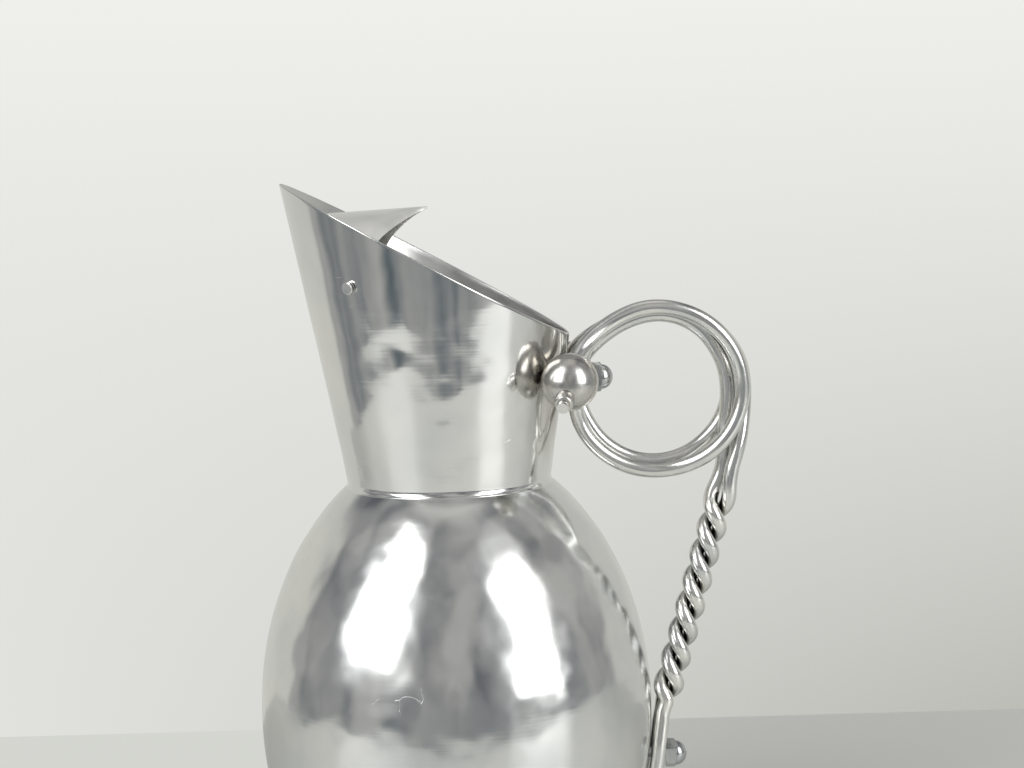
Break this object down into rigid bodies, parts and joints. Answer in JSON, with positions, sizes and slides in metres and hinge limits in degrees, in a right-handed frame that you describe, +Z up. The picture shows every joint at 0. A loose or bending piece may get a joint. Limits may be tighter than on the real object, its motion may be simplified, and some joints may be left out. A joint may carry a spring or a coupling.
{
  "type": "water pitcher",
  "caption": "Egg-shaped metal pitcher with a slanted conical neck, a hinged hood over the spout and a handle of twisted rods wound into a ring.",
  "frame": {"origin": "centre of the flat underside of the body", "axes": "+Z up along the body's axis, +X towards the handle, -X towards the spout"},
  "size_m": [0.2133, 0.168, 0.3206],
  "materials": {
    "hammered_aluminium": "hand hammered and polished",
    "polished_aluminium": "polished rod, balls and rivets",
    "nut_steel": "bright nuts, bolts and washers",
    "seal_rubber": "soft black sealing washers inside"
  },
  "bodies": {
    "pitcher": {"body_shell": "hammered_aluminium", "neck_collar": "hammered_aluminium", "hinge_rivet_near": "polished_aluminium", "hinge_rivet_far": "polished_aluminium", "hinge_washers": "polished_aluminium", "hinge_spacers": "polished_aluminium", "handle_strand_near": "polished_aluminium", "handle_strand_far": "polished_aluminium", "ball_near_upper": "polished_aluminium", "ball_near_lower": "polished_aluminium", "ball_far_upper": "polished_aluminium", "ball_far_lower": "polished_aluminium", "ball_nuts": "polished_aluminium", "upper_bolt": "nut_steel", "upper_seal": "seal_rubber", "upper_washer": "nut_steel", "upper_saddle": "polished_aluminium", "upper_nut_washer": "nut_steel", "upper_acorn_nut": "nut_steel", "lower_bolt": "nut_steel", "lower_seal": "seal_rubber", "lower_washer": "nut_steel", "lower_acorn_nut": "nut_steel"},
    "lid": {"spout_lid": "hammered_aluminium"}
  },
  "joints": [
    {"name": "lid_hinge", "type": "hinge", "parent": "pitcher", "child": "lid", "pos_m": [-0.0348, 0, 0.2774], "axis": [0, 1, 0], "range_deg": [0, 70]}
  ]
}
